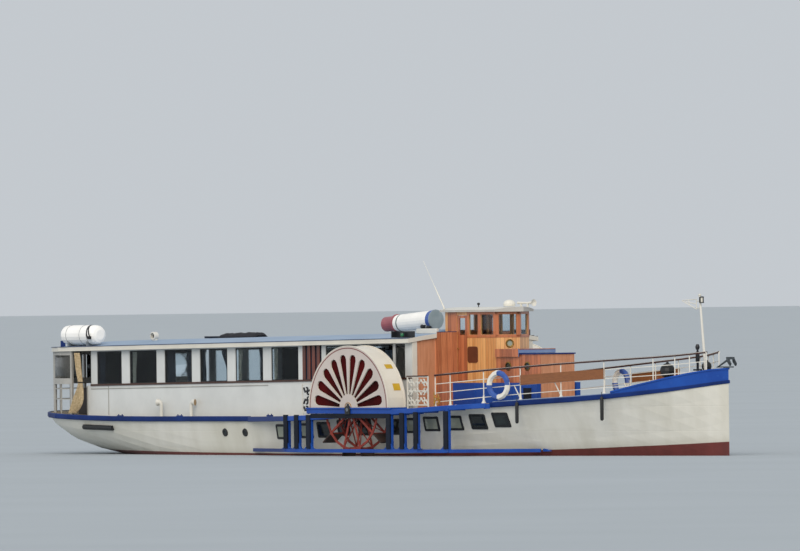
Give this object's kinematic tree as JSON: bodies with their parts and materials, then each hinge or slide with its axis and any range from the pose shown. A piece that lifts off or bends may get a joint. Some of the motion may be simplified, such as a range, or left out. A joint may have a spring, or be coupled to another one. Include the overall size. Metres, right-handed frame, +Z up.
{
  "type": "paddle steamer",
  "caption": "Small side-wheel paddle steamer with a glazed saloon, varnished wheelhouse, lowered funnel, counter stern and straight stem.",
  "frame": {"origin": "on the centreline at the waterline, halfway between the stem and the tip of the counter stern", "axes": "+X to the bow, +Y to port, +Z up"},
  "size_m": [25.2503, 5.89, 5.5928],
  "materials": {
    "hull_white": "gloss",
    "boot_red": "matt",
    "deck_wood": "worn planks",
    "engine_steel": "painted",
    "trim_blue": "gloss",
    "house_white": "gloss",
    "box_cream": "gloss",
    "shaft_steel": "turned",
    "wheel_red": "matt",
    "roof_grey": "matt",
    "bulkhead_wood": "varnished",
    "curtain_canvas": "canvas",
    "varnished_pine": "varnished",
    "varnished_mahogany": "varnished",
    "rail_white": "gloss",
    "buoy_plastic": "satin",
    "canister_plastic": "satin",
    "galvanised_steel": "grey paint",
    "black_cover": "coated canvas",
    "funnel_paint": "gloss",
    "black_paint": "satin",
    "fender_rubber": "matt"
  },
  "bodies": {
    "boat": {"hull": "hull_white", "deck": "deck_wood", "engine_block": "engine_steel", "strake_fore": "trim_blue", "strake_aft": "trim_blue", "bow_bulwark": "trim_blue", "sponson_frame_starboard": "trim_blue", "sponson_frame_port": "trim_blue", "wing_deck_starboard": "house_white", "wing_deck_port": "house_white", "paddle_box_starboard": "box_cream", "paddle_box_port": "box_cream", "saloon_side_starboard": "house_white", "saloon_side_port": "house_white", "window_posts_starboard": "house_white", "window_posts_port": "house_white", "saloon_roof": "roof_grey", "roof_fascia": "house_white", "front_bulkhead_starboard": "bulkhead_wood", "front_bulkhead_port": "bulkhead_wood", "stern_screen": "house_white", "canvas_curtain": "curtain_canvas", "wheelhouse": "varnished_pine", "wheelhouse_roof": "house_white", "helm_column": "varnished_mahogany", "companion": "varnished_mahogany", "side_locker_starboard": "trim_blue", "side_locker_port": "trim_blue", "guard_rail_starboard": "rail_white", "guard_rail_port": "rail_white", "lifebuoy_starboard": "buoy_plastic", "lifebuoy_port": "buoy_plastic", "life_raft": "canister_plastic", "raft_cradle": "galvanised_steel", "covered_bundle": "black_cover", "cowl_vent_aft_starboard": "rail_white", "cowl_vent_aft_port": "rail_white", "cowl_vent_fwd_starboard": "rail_white", "cowl_vent_fwd_port": "rail_white", "funnel_coaming": "galvanised_steel", "light_screen_starboard": "black_paint", "light_screen_port": "black_paint", "foremast": "rail_white", "bitt_post": "black_paint", "lamp_dome": "canister_plastic", "horn": "rail_white", "whip_aerial": "canister_plastic", "anchor": "galvanised_steel", "ball_fender_starboard": "fender_rubber", "ball_fender_port": "fender_rubber"},
    "paddle_wheels": {"paddle_shaft": "shaft_steel", "paddle_wheel_starboard": "wheel_red", "paddle_wheel_port": "wheel_red"},
    "rudder": {"rudder": "boot_red"},
    "helm": {"helm_wheel": "varnished_mahogany"},
    "door_starboard": {"wheelhouse_door_starboard": "varnished_mahogany"},
    "door_port": {"wheelhouse_door_port": "varnished_mahogany"},
    "hatch": {"companion_hatch": "varnished_mahogany"},
    "funnel": {"funnel": "funnel_paint"}
  },
  "joints": [
    {"name": "paddle_turn", "type": "hinge", "parent": "boat", "child": "paddle_wheels", "pos_m": [1.65, 0, 1.15], "axis": [0, 1, 0], "continuous": true},
    {"name": "rudder_turn", "type": "hinge", "parent": "boat", "child": "rudder", "pos_m": [-9.7, 0, -0.45], "axis": [0, 0, 1], "range_deg": [-35, 35]},
    {"name": "helm_turn", "type": "hinge", "parent": "boat", "child": "helm", "pos_m": [4.1, 0, 2.62], "axis": [1, 0, 0], "range_deg": [-1050, 1050]},
    {"name": "door_starboard_swing", "type": "hinge", "parent": "boat", "child": "door_starboard", "pos_m": [3.427, -0.541, 2.6], "axis": [0, 0, 1], "range_deg": [0, 110]},
    {"name": "door_port_swing", "type": "hinge", "parent": "boat", "child": "door_port", "pos_m": [3.427, 0.541, 2.6], "axis": [0, 0, -1], "range_deg": [0, 110]},
    {"name": "hatch_slide", "type": "slide", "parent": "boat", "child": "hatch", "axis": [1, 0, 0], "range_m": [0, 0.7]},
    {"name": "funnel_raise", "type": "hinge", "parent": "boat", "child": "funnel", "pos_m": [1.63, 0, 3.1], "axis": [0, 1, 0], "range_deg": [0, 93.4]}
  ],
  "couplings": [
    {"joint": "helm_turn", "follows": "rudder_turn", "ratio": 30}
  ]
}
